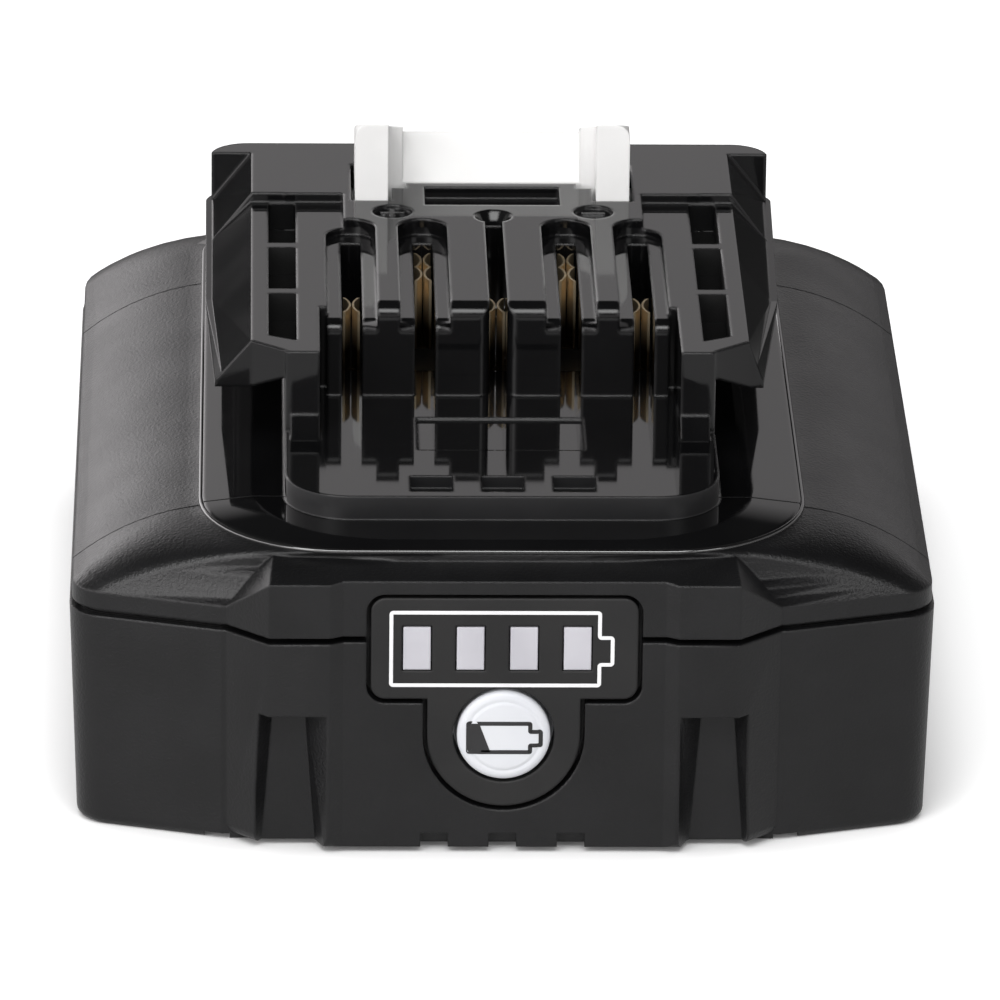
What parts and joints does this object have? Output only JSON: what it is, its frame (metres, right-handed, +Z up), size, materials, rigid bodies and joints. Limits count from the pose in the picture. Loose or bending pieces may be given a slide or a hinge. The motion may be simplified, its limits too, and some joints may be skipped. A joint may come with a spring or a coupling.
{
  "type": "power tool battery pack",
  "caption": "Slide-on power tool battery pack: moulded clamshell case with side rails, slotted terminal bay, sprung latch hook and push-button charge gauge.",
  "frame": {"origin": "centre of the footprint on the plane that the case stands on", "axes": "+Z up through the rails, -Y towards the gauge end that leads into the tool, +X to the right seen from the gauge end"},
  "size_m": [0.066, 0.082, 0.0399],
  "materials": {
    "case_lower": "fine spark-eroded texture",
    "case_upper": "polished deck and rails, fine texture on the shoulders",
    "panel_plastic": "fine texture with a printed outline",
    "window_plastic": "milky diffuser",
    "button_plastic": "smooth satin",
    "switch_plastic": "moulded",
    "switch_metal": "stamped",
    "circuit_board": "solder mask",
    "led_lens": "clear resin",
    "ribbon_cable": "polyimide film",
    "chip_black": "moulded epoxy",
    "carrier_plastic": "moulded",
    "terminal_brass": "rolled strip, bright",
    "latch_plastic": "smooth satin",
    "spring_steel": "drawn wire",
    "cell_sleeve": "shrink sleeve",
    "holder_plastic": "moulded",
    "nickel_strip": "rolled strip",
    "insulator_paper": "fish paper",
    "cushion_foam": "closed-cell foam",
    "sensor_bead": "epoxy bead",
    "screw_steel": "black oxide"
  },
  "bodies": {
    "housing": {"lower_case": "case_lower", "upper_case": "case_upper", "gauge_panel": "panel_plastic", "light_guide": "window_plastic", "check_switch": "switch_metal", "gauge_board": "circuit_board", "gauge_leds": "led_lens", "gauge_ribbon": "ribbon_cable", "main_board": "circuit_board", "control_chip": "chip_black", "power_transistors": "chip_black", "terminal_carrier": "carrier_plastic", "terminal_positive": "terminal_brass", "terminal_sense_positive": "terminal_brass", "terminal_data": "terminal_brass", "terminal_sense_negative": "terminal_brass", "terminal_negative": "terminal_brass", "latch_springs": "spring_steel", "cell_left": "cell_sleeve", "cell_centre": "cell_sleeve", "cell_right": "cell_sleeve", "cell_holder_front": "holder_plastic", "cell_holder_rear": "holder_plastic", "strip_positive": "nickel_strip", "strip_front": "nickel_strip", "strip_rear": "nickel_strip", "strip_negative": "nickel_strip", "insulator_front": "insulator_paper", "insulator_rear": "insulator_paper", "base_cushion": "cushion_foam", "temperature_sensor": "sensor_bead", "case_screws": "screw_steel"},
    "latch": {"latch_hook": "latch_plastic"},
    "button": {"check_button": "button_plastic", "switch_plunger": "switch_plastic"}
  },
  "joints": [
    {"name": "latch_slide", "type": "slide", "parent": "housing", "child": "latch", "axis": [0, 0, -1], "range_m": [0, 0.0034], "stiffness_N_per_m": 1500, "springref_m": -0.003, "deforming": ["latch_springs"]},
    {"name": "button_press", "type": "slide", "parent": "housing", "child": "button", "axis": [0, 1, 0], "range_m": [0, 0.0004], "stiffness_N_per_m": 2000, "springref_m": -0.0004}
  ]
}
